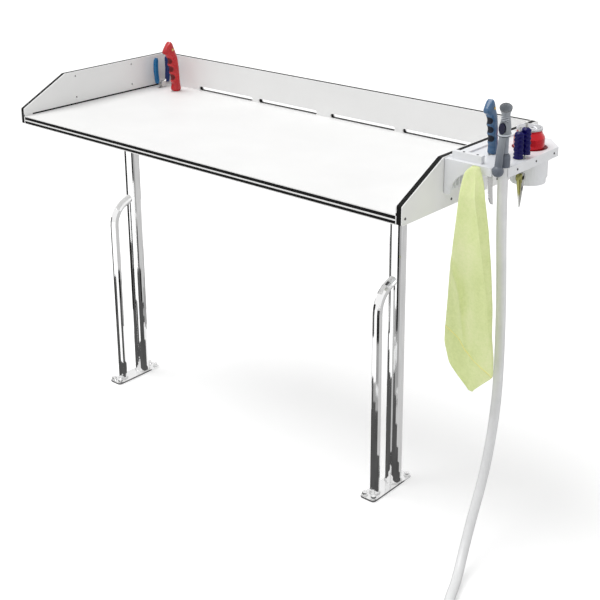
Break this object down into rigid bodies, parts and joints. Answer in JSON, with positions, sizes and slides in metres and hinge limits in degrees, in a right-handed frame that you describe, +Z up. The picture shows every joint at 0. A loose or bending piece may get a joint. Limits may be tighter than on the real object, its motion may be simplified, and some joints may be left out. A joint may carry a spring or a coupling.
{
  "type": "dock cleaning station",
  "caption": "Fish-cleaning table on two deck pedestals with walled tray, drain slots, and a side caddy holding knife, pliers, can, towel and a wash-down nozzle on its hose.",
  "frame": {"origin": "on the dock, under the middle of the station without its hose", "axes": "+Z up, +X along the table towards the caddy, the tray's open front faces -Y"},
  "size_m": [1.5414, 0.9987, 0.9771],
  "materials": {
    "white_board": "white sheet board with two thin black core layers that show at its edges",
    "white_moulding": "white satin moulding",
    "polished_steel": "polished stainless tube and plate",
    "tool_steel": "ground steel",
    "brass": "bright brass",
    "red_handle": "glossy red",
    "blue_handle": "glossy slate blue",
    "light_blue_grip": "dipped vinyl",
    "navy_grip": "dipped vinyl",
    "grey_plastic": "satin",
    "dark_grey_plastic": "satin",
    "navy_plastic": "soft push button",
    "red_lacquer": null,
    "bare_aluminium": "bare",
    "white_hose": "smooth white hose",
    "yellow_cloth": "terry cloth"
  },
  "bodies": {
    "table": {"table_top": "white_board", "back_panel": "white_board", "left_side_panel": "white_board", "right_side_panel": "white_board", "left_base_plate": "polished_steel", "left_post": "polished_steel", "left_brace_tube": "polished_steel", "left_table_flange": "polished_steel", "left_deck_bolt_1": "polished_steel", "left_deck_bolt_2": "polished_steel", "left_deck_bolt_3": "polished_steel", "left_deck_bolt_4": "polished_steel", "right_base_plate": "polished_steel", "right_post": "polished_steel", "right_brace_tube": "polished_steel", "right_table_flange": "polished_steel", "right_deck_bolt_1": "polished_steel", "right_deck_bolt_2": "polished_steel", "right_deck_bolt_3": "polished_steel", "right_deck_bolt_4": "polished_steel", "caddy_shelf": "white_moulding", "caddy_cup": "white_moulding", "nozzle_body": "grey_plastic", "nozzle_inlet_pipe": "grey_plastic", "nozzle_hose_nut": "dark_grey_plastic", "hose": "white_hose", "hose_coil": "white_hose", "hose_connector": "brass", "towel": "yellow_cloth"},
    "red_knife": {"red_knife_handle": "red_handle", "red_knife_blade": "tool_steel", "red_knife_rivet": "brass"},
    "blue_knife": {"blue_knife_handle": "blue_handle", "blue_knife_blade": "tool_steel", "blue_knife_rivet": "brass"},
    "can": {"drink_can_body": "red_lacquer", "drink_can_lid": "bare_aluminium"},
    "can_tab": {"drink_can_tab": "bare_aluminium"},
    "corner_pliers": {"corner_pliers_front_half": "tool_steel", "corner_pliers_front_grip": "light_blue_grip", "corner_pliers_pivot": "tool_steel"},
    "corner_pliers_rear": {"corner_pliers_rear_half": "tool_steel", "corner_pliers_rear_grip": "light_blue_grip"},
    "caddy_pliers": {"caddy_pliers_front_half": "tool_steel", "caddy_pliers_front_grip": "navy_grip", "caddy_pliers_pivot": "tool_steel"},
    "caddy_pliers_rear": {"caddy_pliers_rear_half": "tool_steel", "caddy_pliers_rear_grip": "navy_grip"},
    "nozzle_trigger": {"nozzle_button": "navy_plastic"}
  },
  "joints": [
    {"name": "red_knife_lift", "type": "slide", "parent": "table", "child": "red_knife", "axis": [0, 0, 1], "range_m": [0, 0.17]},
    {"name": "blue_knife_lift", "type": "slide", "parent": "table", "child": "blue_knife", "axis": [0, 0, 1], "range_m": [0, 0.12]},
    {"name": "can_lift", "type": "slide", "parent": "table", "child": "can", "axis": [0, 0, 1], "range_m": [0, 0.08]},
    {"name": "drink_can_tab_pull", "type": "hinge", "parent": "can", "child": "can_tab", "pos_m": [0.62855, 0.0608, 0.8861], "axis": [1, 0, 0], "range_deg": [0, 70]},
    {"name": "corner_pliers_lift", "type": "slide", "parent": "table", "child": "corner_pliers", "axis": [0, 0, 1], "range_m": [0, 0.075]},
    {"name": "corner_pliers_handle", "type": "hinge", "parent": "corner_pliers", "child": "corner_pliers_rear", "pos_m": [-0.63245, 0.2, 0.7715], "axis": [-1, 0, 0], "range_deg": [0, 10]},
    {"name": "caddy_pliers_lift", "type": "slide", "parent": "table", "child": "caddy_pliers", "axis": [0, 0, 1], "range_m": [0, 0.12]},
    {"name": "caddy_pliers_handle", "type": "hinge", "parent": "caddy_pliers", "child": "caddy_pliers_rear", "pos_m": [0.66055, -0.016, 0.8084], "axis": [-1, 0, 0], "range_deg": [0, 10]},
    {"name": "nozzle_button_press", "type": "slide", "parent": "table", "child": "nozzle_trigger", "axis": [-0.0698, 0.9976, 0], "range_m": [0, 0.003], "stiffness_N_per_m": 600, "springref_m": -0.001}
  ]
}
